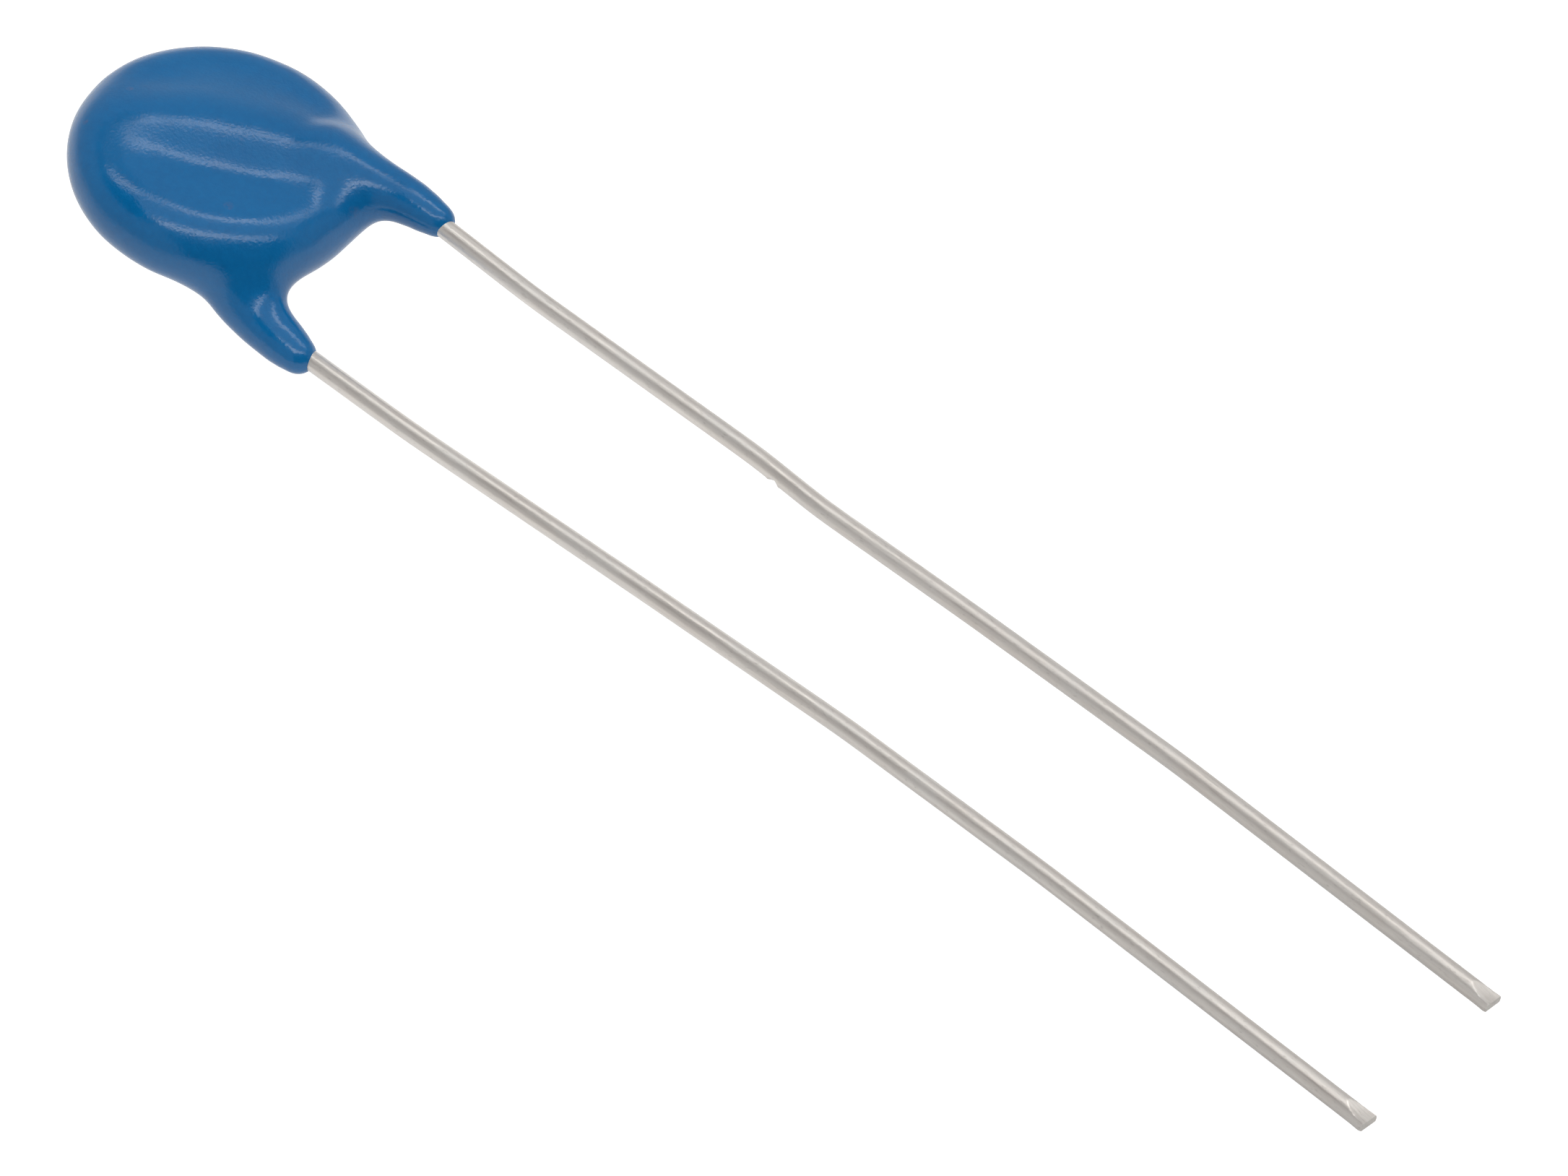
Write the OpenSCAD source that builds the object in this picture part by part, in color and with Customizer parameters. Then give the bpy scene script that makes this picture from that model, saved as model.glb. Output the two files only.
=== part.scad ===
// Disc varistor with a dipped epoxy coating and two radial wire leads.
// A sintered zinc oxide disc carries a fired silver electrode on each face.
// One lead is soldered across the front electrode, the other across the rear
// one, and the dipped coating covers all of it and runs a short way down each
// lead. The part lies on a flat surface, on its rear ridge, leg and lead.

/* [Ceramic disc] */
// Diameter of the zinc oxide disc
ceramic_d = 7.0; // [6.6:0.1:7.2]
// Thickness of the zinc oxide disc
ceramic_t = 1.6; // [1.2:0.05:1.6]

/* [Electrodes and solder] */
// Diameter of each silver electrode
electrode_d = 6.0; // [5.6:0.1:6.4]
// Thickness of each silver electrode
electrode_t = 0.05; // [0.02:0.01:0.06]
// Solder left between a wire and its electrode
solder_film = 0.05; // [0.03:0.01:0.06]
// Radius of the solder round the wire
solder_r = 0.42; // [0.38:0.01:0.44]
// Width of the solder where it meets the electrode
solder_w = 1.4; // [1.2:0.1:1.5]

/* [Leads] */
// Diameter of the tinned copper wire
wire_d = 0.6; // [0.5:0.05:0.6]
// Distance between the two leads where they leave the coating
pitch = 5.0; // [4.6:0.1:5.2]
// Distance from the middle of the disc to the lead tips
lead_reach = 46.12; // [38:0.02:50]
// How far the wire swells at the outside of each small bend
corner_swell = 0.01; // [0.01:0.005:0.02]
// Length of the sheared facet on the upper side of each tip
chisel_len = 0.8; // [0.5:0.1:1.2]
// How far the sheared facet cuts into the wire
chisel_drop = 0.15; // [0.1:0.01:0.2]
// Thickness of wire left at the sheared edge
chisel_edge = 0.25; // [0.15:0.01:0.3]
// Depth of the nick in the front lead
nick_depth = 0.08; // [0.02:0.01:0.12]

/* [Coating] */
// Diameter over the coated disc
coat_d = 8.96; // [8.9:0.02:9.4]
// Thickness over the coated faces, beside the wire ridges
coat_t = 2.70; // [2.66:0.02:3.0]
// Radius of the ridge where the coating goes over a wire
ridge_r = 0.59; // [0.56:0.01:0.7]
// Radius of the front leg where it leaves the disc
front_root_r = 0.80; // [0.78:0.01:0.9]
// Radius of the rear leg where it leaves the disc
rear_root_r = 0.82; // [0.78:0.01:0.9]
// Radius of the front leg near its end
front_end_r = 0.53; // [0.5:0.01:0.6]
// Radius of the rear leg near its end
rear_end_r = 0.56; // [0.5:0.01:0.6]
// How far each leg reaches from the middle of the disc
leg_reach = 6.52; // [6.3:0.02:7.4]
// How far each leg hangs to the outer side of its wire
leg_hang = 0.19; // [0:0.01:0.2]
// How widely the coating flows from each leg into the disc
leg_flow = 1.33; // [0.8:0.01:1.5]
// Spacing of the points on the coating's surface
mesh_step = 0.3; // [0.25:0.05:0.4]

/* [Hidden] */
rest_roll = -9.3;
rest_pitch = 4.8;
rest_at = [-20.86, 0, 1.93];

wire_r = wire_d / 2;
half_t = ceramic_t / 2;
plate_z = half_t + electrode_t;
wire_z = plate_z + solder_film + wire_r;
rim_r = coat_t / 2;
core_r = coat_d / 2 - rim_r;
y0 = pitch / 2;
tip = lead_reach;

// Each wire crosses its face on a slant, turns outward over the disc's edge
// and runs on with the small waves that handling leaves in a soft wire.
front_path = [
    [-2.0, -1.5, wire_z],
    [2.7, 2.18, wire_z],
    [3.8, y0 - 0.06, wire_z + 0.01],
    [5.0, y0 - 0.02, wire_z + 0.04],
    [10.2, y0 - 0.12, 1.45],
    [18.8, y0 + 0.06, 1.89],
    [21.3, y0 - 0.07, 2.02],
    [27.0, y0 + 0.10, 2.31],
    [34.6, y0 + 0.21, 2.70],
    [tip, y0 - 0.04, 3.28]];
rear_path = [
    [-2.0, 1.5, -wire_z],
    [2.7, -2.14, -wire_z],
    [3.8, -2.42, -1.3],
    [5.0, 0.02 - y0, -1.34],
    [10.4, 0.06 - y0, -0.96],
    [19.0, 0.37 - y0, -0.27],
    [26.7, 0.57 - y0, 0.36],
    [34.0, 0.48 - y0, 0.94],
    [tip, -y0, 1.92]];

function unit(v) = v / norm(v);

// A frame whose columns are x, y and z, set at the point o
function frame(x, y, z, o) = [
    [x.x, y.x, z.x, o.x], [x.y, y.y, z.y, o.y], [x.z, y.z, z.z, o.z],
    [0, 0, 0, 1]];

function side_of(v) = unit(cross([0, 0, 1], v));

// Children with their z axis turned to d, set at the point p
module along(d, p) {
    s = side_of(d);
    multmatrix(frame(s, cross(d, s), d, p)) children();
}

// Wire along a path. A ball a hair wider than the wire rounds each corner,
// with its poles along the wire.
module wire(path, last) {
    for (i = [0 : last - 1])
        along(unit(path[i + 1] - path[i]), path[i])
            cylinder(h = norm(path[i + 1] - path[i]), r = wire_r, $fn = 48);
    for (i = [1 : last - 1])
        along(unit(unit(path[i] - path[i - 1]) + unit(path[i + 1] - path[i])), path[i])
            sphere(r = wire_r + corner_swell, $fn = 48);
}

// What the cutter takes off at a tip: a long facet above, a short one below
module chisel(path) {
    last = len(path) - 1;
    d = unit(path[last] - path[last - 1]);
    s = side_of(d);
    top = wire_r - chisel_drop;
    rise = chisel_drop / chisel_len;
    multmatrix(frame(d, cross(d, s), -s, path[last]))
        linear_extrude(height = 2, center = true)
            polygon([[-0.02, top], [-chisel_len - 0.22, top + rise * (chisel_len + 0.2)],
                     [-chisel_len - 0.22, 1], [1, 1], [1, -1], [-0.4, -1],
                     [-0.4, -wire_r - 0.02], [-0.02, top - chisel_edge]]);
}

module lead_blank(path) {
    difference() {
        wire(path, len(path) - 1);
        chisel(path);
    }
}

// Solder that wets the wire and fans out on the electrode, in the plane
// across the wire, with the electrode's surface at y = 0
module solder_section() {
    intersection() {
        union() {
            translate([0, solder_film + wire_r]) circle(r = solder_r, $fn = 48);
            polygon([[-solder_w / 2, 0], [solder_w / 2, 0], [0.37, 0.27], [-0.37, 0.27]]);
        }
        translate([-1, 0]) square([2, 2]);
    }
}

module solder_blank(path) {
    a = path[0];
    d = unit([path[1].x - a.x, path[1].y - a.y, 0]);
    up = [0, 0, sign(a.z)];
    multmatrix(frame(cross(up, d), up, d, [a.x, a.y, 0] + d * 0.5 + up * plate_z))
        linear_extrude(height = 4.7) solder_section();
}

// Shape of the dipped coating, as a distance from its surface: negative
// inside, zero on the surface. Ridges and legs flow into the disc.
function flow(a, b, k) = let (h = max(k - abs(a - b), 0) / k) min(a, b) - h * h * k / 4;

function coated_disc(p) = norm([max(norm([p.x, p.y]) - core_r, 0), p.z]) - rim_r;

function tapered(p, a, b, ra, rb) =
    let (d = b - a, h = min(1, max(0, (p - a) * d / (d * d))))
    norm(p - a - h * d) - ra - (rb - ra) * h;

function blunt(p, a, b, ra, rb, round) =
    let (l = norm(b - a), u = (b - a) / l, h = (p - a) * u,
         x = norm(p - a - h * u) - ra - (rb - ra) * min(1, max(0, h / l)) + round,
         y = max(h - l, -h) + round)
    norm([max(x, 0), max(y, 0)]) + min(max(x, y), 0) - round;

function ridge_and_leg(p, root, end, root_r, end_r) =
    let (a = [-2.0, -1.48, wire_z - 0.1], b = [2.52, 2.07, wire_z])
    flow(flow(tapered(p, a, b, ridge_r, ridge_r),
              tapered(p, b, root, ridge_r, root_r), 0.3),
         blunt(p, root, end, root_r, end_r, 0.4), 0.3);

front_root = [4.12, y0 - 0.09, 1.03];
front_end = [leg_reach, y0 + leg_hang, 1.27];
rear_root = [3.80, y0 - 0.02, 1.11];
rear_end = [leg_reach, y0 + leg_hang - 0.02, 1.30];

function coating(p) =
    flow(flow(coated_disc(p),
              ridge_and_leg(p, front_root, front_end, front_root_r, front_end_r), leg_flow),
         ridge_and_leg([p.x, -p.y, -p.z], rear_root, rear_end, rear_root_r, rear_end_r), leg_flow);

function slope(p, e) = [
    coating(p + [e, 0, 0]) - coating(p - [e, 0, 0]),
    coating(p + [0, e, 0]) - coating(p - [0, e, 0]),
    coating(p + [0, 0, e]) - coating(p - [0, 0, e])] / (2 * e);

// Moves a nearby point on to the surface
function settle(p, n) = n == 0 ? p :
    let (g = slope(p, 0.02)) settle(p - g * coating(p) / (g * g), n - 1);

// The coating's outside as one closed mesh: each grid cell that the surface
// passes through gets one point, and each grid edge that it crosses a face.
module coating_shell() {
    s = mesh_step;
    lo = [-coat_d / 2 - 0.4, -coat_d / 2 - 0.4, -2.4];
    hi = [leg_reach + 0.6, coat_d / 2 + 0.4, 2.4];
    n = [for (c = [0 : 2]) ceil((hi[c] - lo[c]) / s)];
    v = [for (i = [0 : n.x]) [for (j = [0 : n.y]) [for (k = [0 : n.z])
        coating(lo + s * [i, j, k])]]];
    // Cells with corners on both sides of the surface
    cut = [for (i = [0 : n.x - 1]) [for (j = [0 : n.y - 1]) [for (k = [0 : n.z - 1])
        let (c = [v[i][j][k], v[i + 1][j][k], v[i][j + 1][k], v[i + 1][j + 1][k],
                  v[i][j][k + 1], v[i + 1][j][k + 1], v[i][j + 1][k + 1], v[i + 1][j + 1][k + 1]])
        min(c) < 0 && max(c) >= 0 ? 1 : 0]]];
    // Running number of each such cell
    row = [for (i = [0 : n.x - 1]) for (j = [0 : n.y - 1]) cut[i][j] * [for (k = [1 : n.z]) 1]];
    first = [for (a = 0, t = 0; a < len(row); t = t + row[a], a = a + 1) t];
    id = [for (i = [0 : n.x - 1]) [for (j = [0 : n.y - 1])
        [for (k = 0, t = first[i * n.y + j]; k < n.z; t = t + cut[i][j][k], k = k + 1) t]]];
    points = [for (i = [0 : n.x - 1]) for (j = [0 : n.y - 1]) for (k = [0 : n.z - 1])
        if (cut[i][j][k] == 1) settle(cell_point(lo, s, i, j, k, v), 2)];
    quads = concat(
        [for (i = [0 : n.x - 1]) for (j = [1 : n.y - 1]) for (k = [1 : n.z - 1])
            if ((v[i][j][k] < 0) != (v[i + 1][j][k] < 0))
            let (q = [id[i][j - 1][k - 1], id[i][j][k - 1], id[i][j][k], id[i][j - 1][k]])
            v[i][j][k] < 0 ? q : [q[3], q[2], q[1], q[0]]],
        [for (i = [1 : n.x - 1]) for (j = [0 : n.y - 1]) for (k = [1 : n.z - 1])
            if ((v[i][j][k] < 0) != (v[i][j + 1][k] < 0))
            let (q = [id[i - 1][j][k - 1], id[i - 1][j][k], id[i][j][k], id[i][j][k - 1]])
            v[i][j][k] < 0 ? q : [q[3], q[2], q[1], q[0]]],
        [for (i = [1 : n.x - 1]) for (j = [1 : n.y - 1]) for (k = [0 : n.z - 1])
            if ((v[i][j][k] < 0) != (v[i][j][k + 1] < 0))
            let (q = [id[i - 1][j - 1][k], id[i][j - 1][k], id[i][j][k], id[i - 1][j][k]])
            v[i][j][k] < 0 ? q : [q[3], q[2], q[1], q[0]]]);
    // Each face is split along its shorter diagonal, seen clockwise from outside
    faces = [for (q = quads)
        each (norm(points[q[0]] - points[q[2]]) < norm(points[q[1]] - points[q[3]])
            ? [[q[2], q[1], q[0]], [q[3], q[2], q[0]]]
            : [[q[3], q[1], q[0]], [q[3], q[2], q[1]]])];
    polyhedron(points = points, faces = faces);
}

// Mean of the places where the surface crosses the edges of a cell
function cell_point(lo, s, i, j, k, v) =
    let (c = [[0, 0, 0], [1, 0, 0], [0, 1, 0], [1, 1, 0],
              [0, 0, 1], [1, 0, 1], [0, 1, 1], [1, 1, 1]],
         f = [for (o = c) v[i + o.x][j + o.y][k + o.z]],
         e = [[0, 1], [2, 3], [4, 5], [6, 7], [0, 2], [1, 3], [4, 6], [5, 7],
              [0, 4], [1, 5], [2, 6], [3, 7]],
         x = [for (m = e) if ((f[m[0]] < 0) != (f[m[1]] < 0))
              c[m[0]] + (c[m[1]] - c[m[0]]) * f[m[0]] / (f[m[0]] - f[m[1]])])
    lo + s * ([i, j, k] + [for (w = [0 : 2]) [for (y = x) y[w]] * [for (y = x) 1] / len(x)]);

// As the part lies on a flat surface: on the rear ridge, the rear leg and the
// rear lead, which tips it forward and a little to one side
module at_rest() {
    translate(rest_at) rotate([rest_roll, rest_pitch, 0]) children();
}

module epoxy_coating() {
    color([0.15, 0.41, 0.63]) at_rest() difference() {
        coating_shell();
        cylinder(h = ceramic_t, d = ceramic_d, center = true, $fn = 96);
        cylinder(h = 2 * plate_z, d = electrode_d, center = true, $fn = 96);
        solder_blank(front_path);
        solder_blank(rear_path);
        wire(front_path, 4);
        wire(rear_path, 4);
    }
}

module ceramic_disc() {
    color([0.25, 0.26, 0.25]) at_rest()
        cylinder(h = ceramic_t, d = ceramic_d, center = true, $fn = 96);
}

module electrode(side) {
    color([0.86, 0.85, 0.82]) at_rest()
        translate([0, 0, side > 0 ? half_t : -plate_z])
            cylinder(h = electrode_t, d = electrode_d, $fn = 96);
}

module front_electrode() { electrode(1); }
module rear_electrode() { electrode(-1); }

module front_solder() {
    color([0.70, 0.70, 0.68]) at_rest() difference() {
        solder_blank(front_path);
        wire(front_path, 1);
    }
}

module rear_solder() {
    color([0.70, 0.70, 0.68]) at_rest() difference() {
        solder_blank(rear_path);
        wire(rear_path, 1);
    }
}

module front_lead() {
    color([0.74, 0.73, 0.70]) at_rest() difference() {
        lead_blank(front_path);
        // Nick left by a tool on the lower side of the wire
        translate([19.65, y0 + 0.02, 1.93]) rotate([41, 0, 0])
            translate([0, nick_depth - wire_r - 0.3, 0])
                cylinder(h = 1.2, r = 0.3, center = true, $fn = 48);
    }
}

module rear_lead() {
    color([0.74, 0.73, 0.70]) at_rest() lead_blank(rear_path);
}

epoxy_coating();
ceramic_disc();
front_electrode();
rear_electrode();
front_solder();
rear_solder();
front_lead();
rear_lead();
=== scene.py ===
"""Looks for a disc varistor lying on a white surface: a glossy dipped epoxy
coating with two legs, and two drawn tinned wires with sheared tips.

The shapes are worked out in the disc's own frame, in millimetres: X along the
leads, Z out of the front face, the front lead at +Y. The rest pose then lays
them where the CAD part lies.
"""

import math

import bpy
import numpy as np
from mathutils import Matrix, Vector


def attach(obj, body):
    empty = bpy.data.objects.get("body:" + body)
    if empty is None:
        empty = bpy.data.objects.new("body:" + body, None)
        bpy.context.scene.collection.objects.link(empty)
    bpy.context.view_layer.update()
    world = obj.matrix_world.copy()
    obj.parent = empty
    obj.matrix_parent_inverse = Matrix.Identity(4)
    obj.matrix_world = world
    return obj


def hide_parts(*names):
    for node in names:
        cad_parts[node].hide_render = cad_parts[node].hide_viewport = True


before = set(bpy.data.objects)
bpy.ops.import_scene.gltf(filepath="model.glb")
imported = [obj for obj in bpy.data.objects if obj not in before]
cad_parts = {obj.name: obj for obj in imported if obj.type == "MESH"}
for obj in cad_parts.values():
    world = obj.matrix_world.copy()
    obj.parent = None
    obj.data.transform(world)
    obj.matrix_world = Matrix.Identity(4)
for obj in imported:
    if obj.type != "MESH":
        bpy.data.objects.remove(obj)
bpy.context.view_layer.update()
scene = bpy.context.scene

# --------------------------------------------------------------- rest pose


def turn_x(deg):
    a = math.radians(deg)
    return np.array([[1, 0, 0], [0, math.cos(a), -math.sin(a)], [0, math.sin(a), math.cos(a)]])


def turn_y(deg):
    a = math.radians(deg)
    return np.array([[math.cos(a), 0, math.sin(a)], [0, 1, 0], [-math.sin(a), 0, math.cos(a)]])


REST = turn_y(4.8) @ turn_x(-9.3)
REST_AT = np.array([-20.86, 0.0, 1.93])


def to_row(p):
    """Disc frame in millimetres to the part's frame in metres."""
    return (np.asarray(p, float) @ REST.T + REST_AT) * 0.001


def turn_row(v):
    return np.asarray(v, float) @ REST.T


# ------------------------------------------------------------------ camera

# Camera axes and place in the disc frame, in millimetres
CAM_RIGHT = np.array([0.727902, 0.657521, 0.194485])
CAM_UP = np.array([-0.584751, 0.447140, 0.676854])
CAM_BACK = np.array([0.358084, -0.606410, 0.709960])
CAM_AT = np.array([115.304, -157.467, 185.497])

cam_data = bpy.data.cameras.new("camera")
cam = bpy.data.objects.new("camera", cam_data)
scene.collection.objects.link(cam)
cam_data.sensor_width = 36.0
cam_data.lens = 211.22
cam_data.clip_start = 0.01
cam_data.clip_end = 50.0
right, up, back = turn_row(CAM_RIGHT), turn_row(CAM_UP), turn_row(CAM_BACK)
at = to_row(CAM_AT)
cam.matrix_world = Matrix([
    [right[0], up[0], back[0], at[0]],
    [right[1], up[1], back[1], at[1]],
    [right[2], up[2], back[2], at[2]],
    [0, 0, 0, 1]])
scene.camera = cam

# --------------------------------------------------------------- materials


def new_material(name):
    m = bpy.data.materials.new(name)
    m.use_nodes = True
    nt = m.node_tree
    nt.nodes.clear()
    out = nt.nodes.new("ShaderNodeOutputMaterial")
    bsdf = nt.nodes.new("ShaderNodeBsdfPrincipled")
    nt.links.new(bsdf.outputs["BSDF"], out.inputs["Surface"])
    return m, nt, bsdf


def node(nt, kind, **values):
    n = nt.nodes.new(kind)
    for k, v in values.items():
        if hasattr(n, k):
            setattr(n, k, v)
        else:
            n.inputs[k].default_value = v
    return n


def noise(nt, vector, scale, detail=2.0, roughness=0.5, distortion=0.0):
    n = nt.nodes.new("ShaderNodeTexNoise")
    n.inputs["Scale"].default_value = scale
    n.inputs["Detail"].default_value = detail
    n.inputs["Roughness"].default_value = roughness
    n.inputs["Distortion"].default_value = distortion
    nt.links.new(vector, n.inputs["Vector"])
    return n.outputs["Fac"]


def ramp(nt, fac, stops, interpolation="LINEAR"):
    n = nt.nodes.new("ShaderNodeValToRGB")
    n.color_ramp.interpolation = interpolation
    e = n.color_ramp.elements
    while len(e) < len(stops):
        e.new(0.5)
    for k, (pos, col) in zip(range(len(stops)), stops):
        e[k].position = pos
        e[k].color = (*col, 1.0) if len(col) == 3 else col
    nt.links.new(fac, n.inputs["Fac"])
    return n.outputs["Color"]


def grey(v):
    return (v, v, v)


def mix(nt, fac, a, b, blend="MIX"):
    n = nt.nodes.new("ShaderNodeMix")
    n.data_type = "RGBA"
    n.blend_type = blend
    n.clamp_factor = True
    for sock, val in ((n.inputs[0], fac), (n.inputs[6], a), (n.inputs[7], b)):
        if isinstance(val, (int, float)):
            sock.default_value = val
        elif isinstance(val, tuple):
            sock.default_value = (*val, 1.0)
        else:
            nt.links.new(val, sock)
    return n.outputs[2]


def math_node(nt, op, a, b=None, c=None, clamp=False):
    n = nt.nodes.new("ShaderNodeMath")
    n.operation = op
    n.use_clamp = clamp
    for i, val in enumerate((a, b, c)):
        if val is None:
            continue
        if isinstance(val, (int, float)):
            n.inputs[i].default_value = val
        else:
            nt.links.new(val, n.inputs[i])
    return n.outputs[0]


def bump(nt, height, strength, distance, normal=None):
    n = nt.nodes.new("ShaderNodeBump")
    n.inputs["Strength"].default_value = strength
    n.inputs["Distance"].default_value = distance
    nt.links.new(height, n.inputs["Height"])
    if normal is not None:
        nt.links.new(normal, n.inputs["Normal"])
    return n.outputs["Normal"]


def object_coords(nt):
    return nt.nodes.new("ShaderNodeTexCoord").outputs["Object"]


def scaled(nt, vector, x, y, z):
    n = nt.nodes.new("ShaderNodeMapping")
    n.inputs["Scale"].default_value = (x, y, z)
    nt.links.new(vector, n.inputs["Vector"])
    return n.outputs["Vector"]


def spot(nt, vector, at_mm, radius_mm, soft=0.5):
    """1 within a small ball round a point of the disc frame, 0 outside."""
    n = nt.nodes.new("ShaderNodeVectorMath")
    n.operation = "DISTANCE"
    nt.links.new(vector, n.inputs[0])
    n.inputs[1].default_value = tuple(to_row(at_mm))
    m = nt.nodes.new("ShaderNodeMapRange")
    m.inputs["From Min"].default_value = radius_mm * 0.001
    m.inputs["From Max"].default_value = radius_mm * 0.001 * soft
    m.interpolation_type = "SMOOTHSTEP"
    nt.links.new(n.outputs["Value"], m.inputs["Value"])
    return m.outputs["Result"]


# Dipped epoxy: deep cyan blue, slightly mottled pigment, glossy with a faint
# orange peel, a few dust nibs and rust coloured specks, and one painted highlight spot
epoxy, nt, bsdf = new_material("epoxy_blue")
co = object_coords(nt)
broad = noise(nt, co, 330.0, 2.0, 0.5)
base = ramp(nt, broad, [(0.30, (0.0007, 0.112, 0.308)), (0.70, (0.0010, 0.126, 0.338))])
mottle = noise(nt, co, 4200.0, 4.0, 0.62)
base = mix(nt, ramp(nt, mottle, [(0.40, grey(0.0)), (0.66, grey(0.34))]), base, (0.0020, 0.148, 0.386))
fine = noise(nt, co, 15000.0, 2.0, 0.6)
base = mix(nt, ramp(nt, fine, [(0.56, grey(0.0)), (0.74, grey(0.22))]), base, (0.0005, 0.098, 0.280))
# The first three spots are dust specks; the fourth, near the front leg's root, is a painted highlight, a lighter
# purplish glint put into the colour
for place, r, amount in (((-2.97, -1.07, 1.50), 0.14, 0.45), ((-3.05, -2.71, 1.00), 0.13, 0.45),
                         ((2.10, -2.04, 1.31), 0.20, 0.35), ((4.27, 1.06, 0.97), 0.24, 0.30)):
    s = spot(nt, co, place, r)
    s = math_node(nt, "MULTIPLY", s, ramp(nt, noise(nt, co, 9000.0, 2.0), [(0.35, grey(0.1)), (0.6, grey(1.0))]))
    base = mix(nt, math_node(nt, "MULTIPLY", s, amount), base, (0.075, 0.115, 0.230))
nt.links.new(base, bsdf.inputs["Base Color"])
rough = ramp(nt, noise(nt, co, 900.0, 3.0, 0.55), [(0.30, grey(0.165)), (0.72, grey(0.205))])
nt.links.new(rough, bsdf.inputs["Roughness"])
bsdf.inputs["IOR"].default_value = 1.5
peel = noise(nt, co, 3400.0, 2.0, 0.5)
grain = noise(nt, co, 11500.0, 1.0, 0.5)
h = math_node(nt, "ADD", math_node(nt, "MULTIPLY", peel, 2.6), math_node(nt, "MULTIPLY", grain, 6.5))
nt.links.new(bump(nt, h, 1.0, 0.000001), bsdf.inputs["Normal"])

# Tinned copper wire: pale warm grey, drawn streaks along the wire, small pits
tin, nt, bsdf = new_material("tinned_wire")
wire_at = nt.nodes.new("ShaderNodeAttribute")
wire_at.attribute_name = "wire_at"
wv = wire_at.outputs["Vector"]
streak = noise(nt, scaled(nt, wv, 0.06, 1.0, 1.0), 9000.0, 4.0, 0.65)
long_streak = noise(nt, scaled(nt, wv, 0.012, 1.0, 1.0), 3800.0, 2.0, 0.55)
patch = noise(nt, scaled(nt, wv, 0.35, 1.0, 1.0), 1500.0, 3.0, 0.6)
speck = noise(nt, scaled(nt, wv, 0.30, 1.0, 1.0), 16000.0, 2.0, 0.6)
base = ramp(nt, streak, [(0.30, (0.74, 0.69, 0.64)), (0.48, (0.80, 0.755, 0.705)), (0.72, (0.86, 0.82, 0.77))])
base = mix(nt, ramp(nt, long_streak, [(0.36, grey(0.5)), (0.54, grey(0.0))]), base, (0.64, 0.585, 0.54))
base = mix(nt, ramp(nt, patch, [(0.42, grey(0.0)), (0.66, grey(0.5))]), base, (0.76, 0.74, 0.71))
base = mix(nt, ramp(nt, speck, [(0.60, grey(0.0)), (0.76, grey(0.45))]), base, (0.42, 0.385, 0.35))
nt.links.new(base, bsdf.inputs["Base Color"])
bsdf.inputs["Metallic"].default_value = 0.62
rough = math_node(nt, "ADD", ramp(nt, patch, [(0.3, grey(0.25)), (0.7, grey(0.34))]),
                  math_node(nt, "MULTIPLY", streak, 0.08))
nt.links.new(rough, bsdf.inputs["Roughness"])
h = math_node(nt, "ADD", math_node(nt, "MULTIPLY", streak, 1.0), math_node(nt, "MULTIPLY", long_streak, 1.6))
h = math_node(nt, "ADD", h, math_node(nt, "MULTIPLY", patch, 0.7))
h = math_node(nt, "SUBTRACT", h, math_node(nt, "MULTIPLY", ramp(nt, speck, [(0.62, grey(0.0)), (0.80, grey(1.0))]), 0.5))
nt.links.new(bump(nt, h, 0.40, 0.000012), bsdf.inputs["Normal"])

# Fired zinc oxide: dark grey-green, matt, with grains
ceramic, nt, bsdf = new_material("zinc_oxide")
co = object_coords(nt)
g = noise(nt, co, 9000.0, 5.0, 0.65)
nt.links.new(ramp(nt, g, [(0.3, (0.030, 0.034, 0.031)), (0.7, (0.085, 0.092, 0.084))]), bsdf.inputs["Base Color"])
nt.links.new(ramp(nt, g, [(0.3, grey(0.62)), (0.7, grey(0.82))]), bsdf.inputs["Roughness"])
nt.links.new(bump(nt, g, 0.4, 0.00001), bsdf.inputs["Normal"])

# Fired silver: pale satin metal with screen marks
silver, nt, bsdf = new_material("fired_silver")
co = object_coords(nt)
g = noise(nt, co, 14000.0, 4.0, 0.6)
w = noise(nt, co, 1200.0, 2.0, 0.5)
nt.links.new(mix(nt, ramp(nt, w, [(0.35, grey(0.0)), (0.7, grey(0.5))]),
                 ramp(nt, g, [(0.3, (0.62, 0.61, 0.58)), (0.7, (0.84, 0.83, 0.80))]), (0.70, 0.68, 0.62)),
             bsdf.inputs["Base Color"])
bsdf.inputs["Metallic"].default_value = 1.0
nt.links.new(ramp(nt, g, [(0.3, grey(0.38)), (0.7, grey(0.58))]), bsdf.inputs["Roughness"])
nt.links.new(bump(nt, g, 0.3, 0.000006), bsdf.inputs["Normal"])

# Solder: bright grey, wavy from cooling
solder, nt, bsdf = new_material("solder")
co = object_coords(nt)
g = noise(nt, co, 5200.0, 4.0, 0.6)
w = noise(nt, co, 1600.0, 2.0, 0.5)
nt.links.new(ramp(nt, g, [(0.3, (0.48, 0.48, 0.47)), (0.7, (0.70, 0.70, 0.69))]), bsdf.inputs["Base Color"])
bsdf.inputs["Metallic"].default_value = 1.0
nt.links.new(ramp(nt, w, [(0.3, grey(0.22)), (0.7, grey(0.42))]), bsdf.inputs["Roughness"])
nt.links.new(bump(nt, w, 0.4, 0.00003), bsdf.inputs["Normal"])

for name, mat in (("ceramic_disc", ceramic), ("front_electrode", silver), ("rear_electrode", silver),
                  ("front_solder", solder), ("rear_solder", solder)):
    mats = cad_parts[name].data.materials
    if len(mats):
        for i in range(len(mats)):
            mats[i] = mat
    else:
        mats.append(mat)

# ----------------------------------------------------------------- coating

CORE_R, RIM_R = 3.18, 1.31     # the disc: a flat core with a half-round rim
RIDGE_A, RIDGE_B = (-1.99, -1.34, 0.72), (2.45, 2.14, 0.76)
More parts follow.
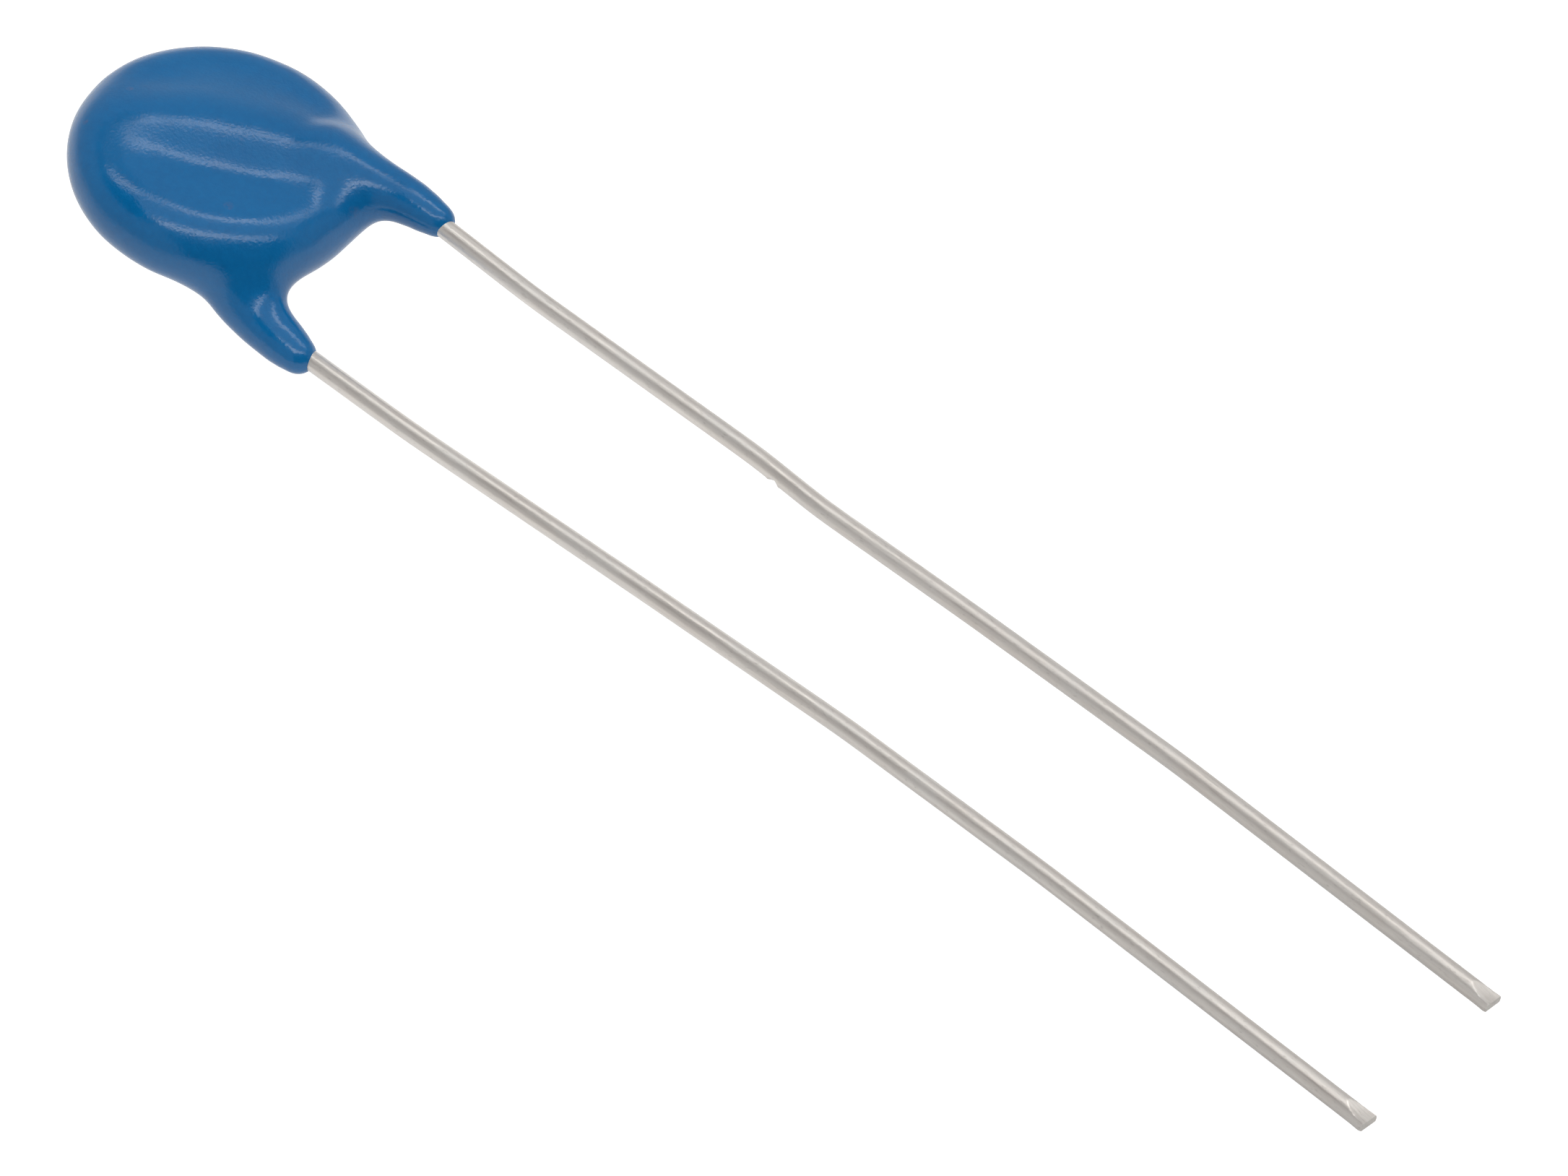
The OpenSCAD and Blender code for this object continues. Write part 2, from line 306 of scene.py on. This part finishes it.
# A broad mound lies over the wire and narrows toward the leg: its two ends and
# the neck, along the ridge and to its far side, then crest height and radius
MOUND = dict(start=1.95, finish=-2.51, aside=0.57, crests=(1.571, 1.572), radius=2.88,
             neck=-0.56, neck_aside=-0.1, neck_crest=1.623, neck_radius=0.7, flow=0.76)
# Each side's root and end of the leg, the radii along it, the end's rounding
# and how far the leg flows into the disc
FRONT = dict(root=(3.51, 2.32, 1.16), end=(6.75, 2.56, 1.35),
             radii=(0.54, 0.36, 0.63, 0.7, 0.71, 0.69, 0.41), rounding=0.39, flow=1.67, far_sharper=0.2)
REAR = dict(root=(3.78, 2.47, 1.23), end=(6.62, 2.63, 1.29),
            radii=(0.54, 0.36, 0.59, 0.61, 0.8, 0.73, 0.43), rounding=0.41, flow=1.38, far_sharper=0.0)


def flow(a, b, k):
    h = np.maximum(k - np.abs(a - b), 0) / k
    return np.minimum(a, b) - h * h * k / 4


def soft_step(v, low, high):
    t = np.clip((v - low) / (high - low), 0, 1)
    return t * t * (3 - 2 * t)


def tapered(p, a, b, ra, rb):
    d = b - a
    h = np.clip(((p - a) @ d) / (d @ d), 0, 1)
    q = p - a - h[..., None] * d
    return np.sqrt((q * q).sum(-1)) - ra - (rb - ra) * h


def blunt(p, a, b, ra, rb, rounding):
    length = np.linalg.norm(b - a)
    u = (b - a) / length
    h = (p - a) @ u
    q = p - a - h[..., None] * u
    x = np.sqrt((q * q).sum(-1)) - ra - (rb - ra) * np.clip(h / length, 0, 1) + rounding
    y = np.maximum(h - length, -h) + rounding
    return np.hypot(np.maximum(x, 0), np.maximum(y, 0)) + np.minimum(np.maximum(x, y), 0) - rounding


def soft_curve(xk, yk, x):
    """A smooth curve through the knots that never overshoots them."""
    xk, yk = np.array(xk, float), np.array(yk, float)
    h = np.diff(xk)
    d = np.diff(yk) / h
    m = np.zeros(len(xk))
    for i in range(1, len(xk) - 1):
        if d[i - 1] * d[i] > 0:
            w1, w2 = 2 * h[i] + h[i - 1], h[i] + 2 * h[i - 1]
            m[i] = (w1 + w2) / (w1 / d[i - 1] + w2 / d[i])
    m[0], m[-1] = d[0], d[-1]
    i = np.clip(np.searchsorted(xk, x) - 1, 0, len(h) - 1)
    t = (x - xk[i]) / h[i]
    return ((2 * t ** 3 - 3 * t ** 2 + 1) * yk[i] + (t ** 3 - 2 * t ** 2 + t) * h[i] * m[i]
            + (-2 * t ** 3 + 3 * t ** 2) * yk[i + 1] + (t ** 3 - t ** 2) * h[i] * m[i + 1])


def unit(v):
    return v / np.linalg.norm(v)


def arc(a, b, c, n):
    t = (np.arange(1, n + 1) / n)[:, None]
    return (1 - t) ** 2 * a + 2 * (1 - t) * t * b + t ** 2 * c


def ridge_and_leg(p, side):
    """The wire's own ridge, bent gently at the neck and at the root, then the leg with its blunt end."""
    a, b = np.array(RIDGE_A), np.array(RIDGE_B)
    root, end = np.array(side["root"]), np.array(side["end"])
    reach = np.linalg.norm(root - b) / 2
    into, middle = b - unit(b - a) * reach, (b + root) / 2
    out, last = root + unit(end - root) * 0.9, end - unit(end - root) * 0.6
    straight = out + (last - out) * np.linspace(0.25, 1.0, 4)[:, None]
    line = np.concatenate([[a, (a + into) / 2, into], arc(into, b, middle, 6), arc(middle, root, out, 8), straight])
    s = np.concatenate([[0], np.cumsum(np.linalg.norm(np.diff(line, axis=0), axis=1))])
    neck = s[2] + reach * 0.97
    mid = s[8]
    at_root = mid + reach * 0.98
    at_end = s[-1] + 0.6
    knots = [0, max(neck - 1.6, 0.1), neck, mid, at_root, (at_root + at_end) / 2, at_end]
    r = soft_curve(knots, side["radii"], s)
    d = blunt(p, line[-1], end, r[-1], side["radii"][-1], side["rounding"])
    for i in range(len(line) - 1):
        d = np.minimum(d, tapered(p, line[i], line[i + 1], r[i], r[i + 1]))
    return d


def mound(p):
    a, b, m = np.array(RIDGE_A), np.array(RIDGE_B), MOUND
    u = unit((b - a)[:2])
    n = np.array([-u[1], u[0]])
    p0 = np.append(a[:2] + u * m["start"] + n * m["aside"], m["crests"][0] - m["radius"])
    p1 = np.append(b[:2] + u * m["finish"] + n * m["aside"], m["crests"][1] - m["radius"])
    p2 = np.append(b[:2] + u * m["neck"] + n * m["neck_aside"], m["neck_crest"] - m["neck_radius"])
    d = flow(tapered(p, p0, p1, m["radius"], m["radius"]), tapered(p, p1, p2, m["radius"], m["neck_radius"]), 0.25)
    return d + 1.2 * np.clip(1.1 - p[..., 2], 0, None) ** 2  # dies away down the rim


def coating(p):
    rho = np.hypot(p[..., 0], p[..., 1])
    d = np.hypot(np.maximum(rho - CORE_R, 0), p[..., 2]) - RIM_R
    for turn, side in ((1, FRONT), (-1, REAR)):
        q = p * np.array([1, turn, turn])
        d = flow(d, mound(q), MOUND["flow"])
        # the front leg meets the disc more sharply on its far side
        far = soft_step(q[..., 0], 1.7, 3.2) * soft_step(q[..., 1], 1.9, 2.7) * side["far_sharper"]
        d = flow(d, ridge_and_leg(q, side), side["flow"] * (1 - far))
    return d


def surface_nets(v, lo, step):
    """One point for each cell that the surface passes through, one quad for each grid edge that crosses it."""
    s = v < 0
    corners = [(i, j, k) for i in (0, 1) for j in (0, 1) for k in (0, 1)]
    nx, ny, nz = (n - 1 for n in v.shape)
    count = np.zeros((nx, ny, nz), np.int8)
    for i, j, k in corners:
        count += s[i:i + nx, j:j + ny, k:k + nz]
    active = (count > 0) & (count < 8)
    idx = np.full(active.shape, -1, np.int64)
    idx[active] = np.arange(active.sum())
    cell = np.argwhere(active)
    pos, hits = np.zeros((len(cell), 3)), np.zeros(len(cell))
    for a in corners:
        for axis in range(3):
            if a[axis]:
                continue
            b = list(a)
            b[axis] = 1
            fa = v[cell[:, 0] + a[0], cell[:, 1] + a[1], cell[:, 2] + a[2]]
            fb = v[cell[:, 0] + b[0], cell[:, 1] + b[1], cell[:, 2] + b[2]]
            m = (fa < 0) != (fb < 0)
            t = np.where(m, fa / np.where(fa == fb, 1, fa - fb), 0)
            p = np.array(a, float) + (np.array(b, float) - np.array(a, float)) * t[:, None]
            pos[m] += p[m]
            hits += m
    points = lo + step * (cell + pos / hits[:, None])
    quads = []
    for axis in range(3):
        n0 = [slice(1, -1)] * 3
        n1 = [slice(1, -1)] * 3
        n0[axis], n1[axis] = slice(0, -1), slice(1, None)
        where = np.argwhere(s[tuple(n0)] != s[tuple(n1)])
        off = np.ones(3, int)
        off[axis] = 0
        where = where + off
        u, w = (axis + 1) % 3, (axis + 2) % 3
        ring = []
        for du, dw in ((1, 1), (0, 1), (0, 0), (1, 0)):
            c = where.copy()
            c[:, u] -= du
            c[:, w] -= dw
            ring.append(idx[c[:, 0], c[:, 1], c[:, 2]])
        q = np.stack(ring, 1)
        inside = s[where[:, 0], where[:, 1], where[:, 2]]
        q[~inside] = q[~inside][:, ::-1]
        quads.append(q)
    return points, np.concatenate(quads)


def make_mesh(name, verts_mm, faces, normals=None, smooth=True):
    me = bpy.data.meshes.new(name)
    me.from_pydata(to_row(verts_mm).tolist(), [], [list(map(int, f)) for f in faces])
    me.validate(verbose=False)
    me.update()
    me.shade_smooth() if smooth else me.shade_flat()
    if normals is not None:
        me.normals_split_custom_set_from_vertices(turn_row(normals).tolist())
    ob = bpy.data.objects.new(name, me)
    scene.collection.objects.link(ob)
    return ob


def blurred(v, sigma):
    """The field averaged over sigma cells, which softens every crease in it."""
    n = int(math.ceil(3 * sigma))
    k = np.exp(-0.5 * (np.arange(-n, n + 1) / sigma) ** 2)
    k /= k.sum()
    for axis in range(3):
        pad = [(0, 0)] * 3
        pad[axis] = (n, n)
        w = np.pad(v, pad, mode="edge")
        out = np.zeros_like(v)
        for i, f in enumerate(k):
            cut = [slice(None)] * 3
            cut[axis] = slice(i, i + v.shape[axis])
            out += f * w[tuple(cut)]
        v = out
    return v


def read(field, p, lo, step):
    """The field between its grid points."""
    g = (p - lo) / step
    i = np.clip(np.floor(g).astype(int), 0, np.array(field.shape[:3]) - 2)
    f = g - i
    out = 0
    for dx in (0, 1):
        for dy in (0, 1):
            for dz in (0, 1):
                w = (f[:, 0] if dx else 1 - f[:, 0]) * (f[:, 1] if dy else 1 - f[:, 1]) * (f[:, 2] if dz else 1 - f[:, 2])
                c = field[i[:, 0] + dx, i[:, 1] + dy, i[:, 2] + dz]
                out = out + (w[:, None] * c if c.ndim > 1 else w * c)
    return out


STEP = 0.062
lo = np.array([-4.80, -4.80, -2.30])
hi = np.array([7.35, 4.80, 2.30])
counts = np.ceil((hi - lo) / STEP).astype(int) + 1
axes = [lo[i] + STEP * np.arange(counts[i]) for i in range(3)]
values = np.empty(tuple(counts))
for a in range(0, counts[0], 24):  # in slabs, which keeps the arrays small
    grid = np.stack(np.meshgrid(axes[0][a:a + 24], axes[1], axes[2], indexing="ij"), -1)
    values[a:a + 24] = coating(grid)
# The dip's own unevenness, a few microns over a millimetre or so
rng = np.random.default_rng(12)
gx, gy, gz = np.meshgrid(*axes, indexing="ij", sparse=True)
for length, size in ((2.6, 0.0036), (1.7, 0.0020), (1.1, 0.0012), (0.7, 0.0007)):
    for _ in range(3):
        k = unit(rng.standard_normal(3)) * 2 * math.pi / length
        values += size * np.sin(gx * k[0] + gy * k[1] + gz * k[2] + rng.uniform(0, 2 * math.pi))
values = blurred(values, 0.11 / STEP)
verts, quads = surface_nets(values, lo, STEP)
slopes = np.stack(np.gradient(values, STEP), -1)
for _ in range(3):
    g = read(slopes, verts, lo, STEP)
    verts = verts - g * (read(values, verts, lo, STEP) / (g * g).sum(1))[:, None]
normals = read(slopes, verts, lo, STEP)
normals /= np.linalg.norm(normals, axis=1)[:, None]
coat = make_mesh("epoxy_shell", verts, quads, normals)
coat.data.materials.append(epoxy)

# ------------------------------------------------------------------- leads

WIRE_R = 0.3
FRONT_PATH = [(-2.0, -1.5, 1.2), (2.7, 2.18, 1.2), (3.8, 2.44, 1.21), (5.0, 2.48, 1.24),
              (10.2, 2.38, 1.45), (18.8, 2.56, 1.89), (21.3, 2.43, 2.02), (27.0, 2.60, 2.31),
              (34.6, 2.71, 2.70), (46.12, 2.46, 3.28)]
REAR_PATH = [(-2.0, 1.5, -1.2), (2.7, -2.14, -1.2), (3.8, -2.42, -1.3), (5.0, -2.48, -1.34),
             (10.4, -2.44, -0.96), (19.0, -2.13, -0.27), (26.7, -1.93, 0.36), (34.0, -2.02, 0.94),
             (46.12, -2.5, 1.92)]


def rounded_path(points, soft):
    """The path as a dense line with its corners rounded over about soft millimetres."""
    p = np.array(points, float)
    seg = np.linalg.norm(np.diff(p, axis=0), axis=1)
    s = np.concatenate([[0], np.cumsum(seg)])
    d = 0.02
    t = np.arange(0, s[-1], d)
    line = np.stack([np.interp(t, s, p[:, i]) for i in range(3)], 1)
    n = int(3 * soft / d)
    k = np.exp(-0.5 * (np.arange(-n, n + 1) * d / soft) ** 2)
    k /= k.sum()
    padded = np.concatenate([2 * line[0] - line[n:0:-1], line, 2 * line[-1] - line[-2:-n - 2:-1]])
    out = np.stack([np.convolve(padded[:, i], k, "valid") for i in range(3)], 1)
    out[0], out[-1] = p[0], p[-1]
    return t, out


def smooth_noise(rng, n, periodic=False):
    """A list of random knots, read at any place in between."""
    k = rng.standard_normal(n)

    def read(x):
        x = np.asarray(x, float)
        i = np.floor(x).astype(int)
        f = x - i
        f = f * f * (3 - 2 * f)
        if periodic:
            a, b = k[i % n], k[(i + 1) % n]
        else:
            a, b = k[np.clip(i, 0, n - 1)], k[np.clip(i + 1, 0, n - 1)]
        return a + (b - a) * f
    return read


def make_lead(name, path, seed, nicks, around=48):
    rng = np.random.default_rng(seed)
    t, line = rounded_path(path, 0.5)
    end = t[-1]
    stations = [np.arange(0, end - 1.3, 0.10), np.arange(end - 1.3, end - 0.02, 0.03), [end - 0.012, end]]
    for x in nicks:
        stations.append(np.arange(x - 0.35, x + 0.35, 0.03))
    s = np.unique(np.round(np.concatenate(stations), 4))
    s = s[np.concatenate([[True], np.diff(s) > 0.008])]
    s[-1] = end
    p = np.stack([np.interp(s, t, line[:, i]) for i in range(3)], 1)
    tan = np.stack([np.interp(s, t, np.gradient(line[:, i], t)) for i in range(3)], 1)
    tan /= np.linalg.norm(tan, axis=1)[:, None]
    side = np.cross(np.array([0.0, 0.0, 1.0]), tan)
    side /= np.linalg.norm(side, axis=1)[:, None]
    top = np.cross(tan, side)
    phi = np.arange(around) * 2 * math.pi / around
    # Drawing marks and handling: shallow lengthwise grooves and flats
    r = np.full((len(s), around), WIRE_R)
    for waves, size, length in ((5, 0.0022, 7.0), (11, 0.0014, 3.0), (19, 0.0010, 1.5)):
        for _ in range(2):
            drift = smooth_noise(rng, int(end / length) + 3)
            gain = smooth_noise(rng, int(end / length) + 3)
            turn = rng.uniform(0, 2 * math.pi)
            r += size * (0.5 + 0.5 * gain(s / length))[:, None] * np.cos(
                waves * phi[None, :] + turn + 0.9 * drift(s / length)[:, None])
    u = r * np.cos(phi)[None, :]     # to the side
    w = r * np.sin(phi)[None, :]     # up
    # The shears' marks at the tip: a dished facet above, a short bevel below,
    # and the metal pushed out a little to both sides
    from_end = (end - s)[:, None]
    spread = np.clip((0.5 - from_end) / 0.5, 0, 1)
    u *= 1 + 0.07 * spread * spread * (3 - 2 * spread)
    cut = np.clip((0.80 - from_end) / 0.80, 0, 1)
    facet = 0.30 - 0.15 * cut - 0.035 * np.sin(math.pi * cut) + 0.02 * (u / WIRE_R) ** 2 * cut
    w = np.where(from_end < 0.80, np.minimum(w, facet), w)
    under = np.clip((0.40 - from_end) / 0.40, 0, 1)
    bevel = -0.30 + 0.20 * under ** 1.6
    w = np.where(from_end < 0.40, np.maximum(w, bevel), w)
    xyz = p[:, None, :] + side[:, None, :] * u[..., None] + top[:, None, :] * w[..., None]
    # A tool's nick: the round is pressed flat from one side
    for x0 in nicks:
        near = 1 - ((s - x0) / 0.21) ** 2
        depth = 0.085 * np.clip(near, 0, 1) ** 0.8
        out = np.array([0.0, -0.755, -0.655])
        dist = (xyz - p[:, None, :]) @ out
        over = np.clip(dist - (WIRE_R - depth)[:, None], 0, None) * (depth > 0)[:, None]
        xyz = xyz - out * over[..., None]
        lip = 0.010 * np.exp(-(((np.abs(s - x0) - 0.23) / 0.05) ** 2))
        away = np.clip(dist / WIRE_R, 0, 1) ** 3
        xyz = xyz + out * (lip[:, None] * away)[..., None]
    n = len(s)
    verts = xyz.reshape(-1, 3)
    i = np.arange(n - 1)[:, None] * around
    j = np.arange(around)[None, :]
    a, b = i + j, i + (j + 1) % around
    faces = np.stack([a, b, b + around, a + around], -1).reshape(-1, 4)[:, ::-1].tolist()
    # Inner end: a flat disc. Tip: a slightly domed end face.
    start_c = len(verts)
    tip_c = start_c + 1
    last = (n - 1) * around
    tip_mid = verts[last:last + around].mean(0) + tan[-1] * 0.012
    verts = np.concatenate([verts, [p[0]], [tip_mid]])
    for k in range(around):
        k1 = (k + 1) % around
        faces.append([start_c, k, k1])
        faces.append([tip_c, last + k1, last + k])
    ob = make_mesh(name, verts, faces)
    me = ob.data
    me.set_sharp_from_angle(angle=math.radians(24))
    # Where each point is on the wire: along it, and round it
    where = np.zeros((len(verts), 3), np.float32)
    where[:-2, 0] = np.repeat(s, around) * 0.001
    where[:-2, 1] = np.tile(np.cos(phi), n) * WIRE_R * 0.001 + seed * 0.01
    where[:-2, 2] = np.tile(np.sin(phi), n) * WIRE_R * 0.001
    where[-2] = (0, seed * 0.01, 0)
    where[-1] = (end * 0.001, seed * 0.01, 0)
    at_attr = me.attributes.new("wire_at", "FLOAT_VECTOR", "POINT")
    at_attr.data.foreach_set("vector", where.ravel())
    me.materials.append(tin)
    return ob


def distance_at(path, x):
    """How far along the path the place with this x is."""
    t, line = rounded_path(path, 0.5)
    return float(np.interp(x, line[:, 0], t))


front = make_lead("front_wire", FRONT_PATH, 3, [distance_at(FRONT_PATH, 19.65)])
rear = make_lead("rear_wire", REAR_PATH, 8, [])

for ob, cad, slot in ((coat, "epoxy_coating", "epoxy"), (front, "front_lead", "tinned_wire"),
                      (rear, "rear_lead", "tinned_wire")):
    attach(ob, "root")
    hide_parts(cad)

# ---------------------------------------------------------- floor and light

MIDDLE = to_row((2.0, 0.0, 0.0))


def plane(name, corners, mat):
    me = bpy.data.meshes.new(name)
    me.from_pydata([tuple(map(float, c)) for c in corners], [], [(0, 1, 2, 3)])
    me.update()
    ob = bpy.data.objects.new(name, me)
    scene.collection.objects.link(ob)
    me.materials.append(mat)
    return ob


floor_mat, nt, bsdf = new_material("floor_white")
co = object_coords(nt)
g = noise(nt, co, 60.0, 3.0, 0.5)
nt.links.new(ramp(nt, g, [(0.3, (0.30, 0.30, 0.30)), (0.7, (0.31, 0.31, 0.31))]), bsdf.inputs["Base Color"])
bsdf.inputs["Roughness"].default_value = 0.9
bsdf.inputs["Specular IOR Level"].default_value = 0.1
bsdf.inputs["Emission Color"].default_value = (1.0, 1.0, 1.0, 1.0)
bsdf.inputs["Emission Strength"].default_value = 1.0
FLOOR_HALF = 4.0
corners = [(-FLOOR_HALF, -FLOOR_HALF, 0), (FLOOR_HALF, -FLOOR_HALF, 0),
           (FLOOR_HALF, FLOOR_HALF, 0), (-FLOOR_HALF, FLOOR_HALF, 0)]
floor = plane("floor", corners, floor_mat)
floor.visible_diffuse = floor.visible_glossy = False

# What the part itself is lit by from below: the same sheet, darker away from the part
bounce_mat, nt, bsdf = new_material("floor_bounce")
bsdf.inputs["Base Color"].default_value = (0.30, 0.30, 0.30, 1.0)
bsdf.inputs["Roughness"].default_value = 0.9
bsdf.inputs["Specular IOR Level"].default_value = 0.1
bsdf.inputs["Emission Color"].default_value = (1.0, 1.0, 1.0, 1.0)
off = nt.nodes.new("ShaderNodeVectorMath")
off.operation = "DISTANCE"
off.inputs[1].default_value = tuple(float(v) for v in to_row((2.0, 0.0, 0.0)))
nt.links.new(object_coords(nt), off.inputs[0])
away = nt.nodes.new("ShaderNodeMapRange")
away.interpolation_type = "SMOOTHSTEP"
for key, value in (("From Min", 0.008), ("From Max", 0.045), ("To Min", 0.72), ("To Max", 0.30)):
    away.inputs[key].default_value = value
nt.links.new(off.outputs["Value"], away.inputs["Value"])
nt.links.new(away.outputs["Result"], bsdf.inputs["Emission Strength"])
bounce = plane("floor_bounce", corners, bounce_mat)
bounce.location.z = -5e-5
bounce.visible_camera = False


def glow(name, strength, color=(1.0, 1.0, 1.0)):
    m = bpy.data.materials.new(name)
    m.use_nodes = True
    t = m.node_tree
    t.nodes.clear()
    out = t.nodes.new("ShaderNodeOutputMaterial")
    e = t.nodes.new("ShaderNodeEmission")
    e.inputs["Color"].default_value = (*color, 1.0)
    e.inputs["Strength"].default_value = strength
    t.links.new(e.outputs["Emission"], out.inputs["Surface"])
    return m


def over(nt, value, low, high, a=0.0, b=1.0):
    """a below low, b above high, and a soft change in between."""
    n = nt.nodes.new("ShaderNodeMapRange")
    n.interpolation_type = "SMOOTHSTEP"
    n.inputs["From Min"].default_value = low
    n.inputs["From Max"].default_value = high
    n.inputs["To Min"].default_value = a
    n.inputs["To Max"].default_value = b
    nt.links.new(value, n.inputs["Value"])
    return n.outputs["Result"]


def strip(nt, value, middle, width):
    """1 on a line, falling softly to 0 at width on both sides of it."""
    off = math_node(nt, "ABSOLUTE", math_node(nt, "SUBTRACT", value, middle))
    return over(nt, off, 0.0, width, 1.0, 0.0)


def times(nt, first, *rest):
    for r in rest:
        first = math_node(nt, "MULTIPLY", first, r)
    return first


def panel(name, tilt, low, high, left, right_edge, mat, distance=1.0, glossy_only=False):
    """A flat panel round the object, square to the direction tilt degrees above the camera's.
    low and high are its edges in the same degrees, left and right_edge its side edges.
    Its own X runs to the camera's right and its own Y upward, in units of the distance."""
    a = math.radians(tilt)
    n = math.sin(a) * up + math.cos(a) * back
    v = math.cos(a) * up - math.sin(a) * back
    y0, y1 = (math.tan(math.radians(q - tilt)) for q in (low, high))
    x0, x1 = (math.tan(math.radians(q)) for q in (left, right_edge))
    ob = plane(name, [(x0, y0, 0), (x1, y0, 0), (x1, y1, 0), (x0, y1, 0)], mat)
    c = MIDDLE + n * distance
    d = distance
    ob.matrix_world = Matrix([
        [right[0] * d, v[0] * d, n[0] * d, c[0]],
        [right[1] * d, v[1] * d, n[1] * d, c[1]],
        [right[2] * d, v[2] * d, n[2] * d, c[2]],
        [0, 0, 0, 1]])
    ob.visible_camera = False
    if glossy_only:
        ob.visible_diffuse = False
        ob.visible_transmission = False
        ob.visible_shadow = False
    return ob


def light_sheet(name):
    """An emitter whose strength is worked out from its own X and Y."""
    m = bpy.data.materials.new(name)
    m.use_nodes = True
    t = m.node_tree
    t.nodes.clear()
    out = t.nodes.new("ShaderNodeOutputMaterial")
    e = t.nodes.new("ShaderNodeEmission")
    t.links.new(e.outputs["Emission"], out.inputs["Surface"])
    sep = t.nodes.new("ShaderNodeSeparateXYZ")
    t.links.new(object_coords(t), sep.inputs[0])
    return m, t, e, out, sep.outputs["X"], sep.outputs["Y"]


def tan(deg):
    return math.tan(math.radians(deg))


# A light box above the camera: an even face with brighter rails along its top,
# its bottom and its left side, dying away to the right
TILT = 39
BOX_TOP, BOX_LOW, BOX_LEFT = 63, 16, -19
box_mat, nt, emit, _, x, y = light_sheet("light_box")
wide = times(nt, over(nt, x, tan(BOX_LEFT - 4), tan(BOX_LEFT + 2)), over(nt, x, tan(44), tan(56), 1.0, 0.0))
tall = times(nt, over(nt, y, tan(BOX_LOW - 2 - TILT), tan(BOX_LOW + 2 - TILT)),
             over(nt, y, tan(BOX_TOP - 2 - TILT), tan(BOX_TOP + 2 - TILT), 1.0, 0.0))
face = times(nt, wide, tall, 0.64)
wider = times(nt, over(nt, x, tan(BOX_LEFT - 19), tan(BOX_LEFT - 12)), over(nt, x, tan(44), tan(56), 1.0, 0.0))
right_loss = over(nt, x, 0.0, tan(50), 1.0, 0.5)
rail_top = times(nt, strip(nt, y, tan(BOX_TOP - TILT), tan(10.0) * 1.15), wider, right_loss, over(nt, x, tan(-28), tan(0), 2.0, 1.0), 4.8)
rail_low = times(nt, strip(nt, y, tan(BOX_LOW - TILT), tan(9.5) * 1.15), wide, right_loss, 4.8)
rail_left = times(nt, strip(nt, x, tan(BOX_LEFT), tan(7.0)), tall, 0.9)
total = math_node(nt, "MAXIMUM", math_node(nt, "MAXIMUM", face, rail_top), math_node(nt, "MAXIMUM", rail_low, rail_left))
nt.links.new(total, emit.inputs["Strength"])
panel("light_box", TILT, BOX_LOW - 8, BOX_TOP + 8, BOX_LEFT - 28, 56, box_mat)


def flag(name, tilt, low, high, left, right_edge, level, distance, soft=5.0, fade_right=None):
    """A dark card with soft edges, for the gloss alone."""
    m, t, e, out, x, y = light_sheet(name)
    e.inputs["Strength"].default_value = level
    cover = times(t, over(t, x, tan(left), tan(left + soft)),
                  over(t, x, tan(right_edge - (fade_right or soft)), tan(right_edge), 1.0, 0.0),
                  over(t, y, tan(low - tilt), tan(low - tilt + soft)),
                  over(t, y, tan(high - tilt - soft), tan(high - tilt), 1.0, 0.0))
    clear = t.nodes.new("ShaderNodeBsdfTransparent")
    mixed = t.nodes.new("ShaderNodeMixShader")
    t.links.new(cover, mixed.inputs[0])
    t.links.new(clear.outputs[0], mixed.inputs[1])
    t.links.new(e.outputs[0], mixed.inputs[2])
    t.links.new(mixed.outputs[0], out.inputs["Surface"])
    return panel(name, tilt, low, high, left, right_edge, m, distance, True)


# What the gloss sees round the box: the dark room behind the camera, a dark
# gap above the box at the left, and a dim curtain left of it
flag("dark_front", -18, -52, 15, -22, 62, 0.0, 1.06)
flag("dark_gap", 68, 58, 80, -44, 16, 0.0, 1.04, fade_right=20)
flag("dark_left", 39, 6, 66, -54, -22, 0.10, 1.02)


def area(name, where, size, power, aim=(0, 0, 0), glossy=True):
    ld = bpy.data.lights.new(name, "AREA")
    ld.shape = "DISK"
    ld.size = size
    ld.energy = power
    ob = bpy.data.objects.new(name, ld)
    scene.collection.objects.link(ob)
    ob.location = where
    ob.rotation_mode = "QUATERNION"
    ob.rotation_quaternion = (Vector(aim) - Vector(where)).to_track_quat("-Z", "Y")
    ob.visible_camera = False
    ob.visible_glossy = glossy
    return ob


area("soft_top", (-0.15, 0.2, 1.6), 1.8, 24.0, glossy=False)
fill_at = MIDDLE + 1.35 * (0.35 * up + 0.93 * back)
area("soft_front", tuple(fill_at), 1.1, 15.0, aim=tuple(MIDDLE), glossy=False)

world = bpy.data.worlds.new("world")
scene.world = world
world.use_nodes = True
bg = world.node_tree.nodes["Background"]
bg.inputs["Color"].default_value = (1.0, 1.0, 1.0, 1.0)
bg.inputs["Strength"].default_value = 0.40

scene.view_settings.view_transform = "Standard"
scene.view_settings.look = "None"
scene.view_settings.exposure = 0.0
scene.view_settings.gamma = 1.0
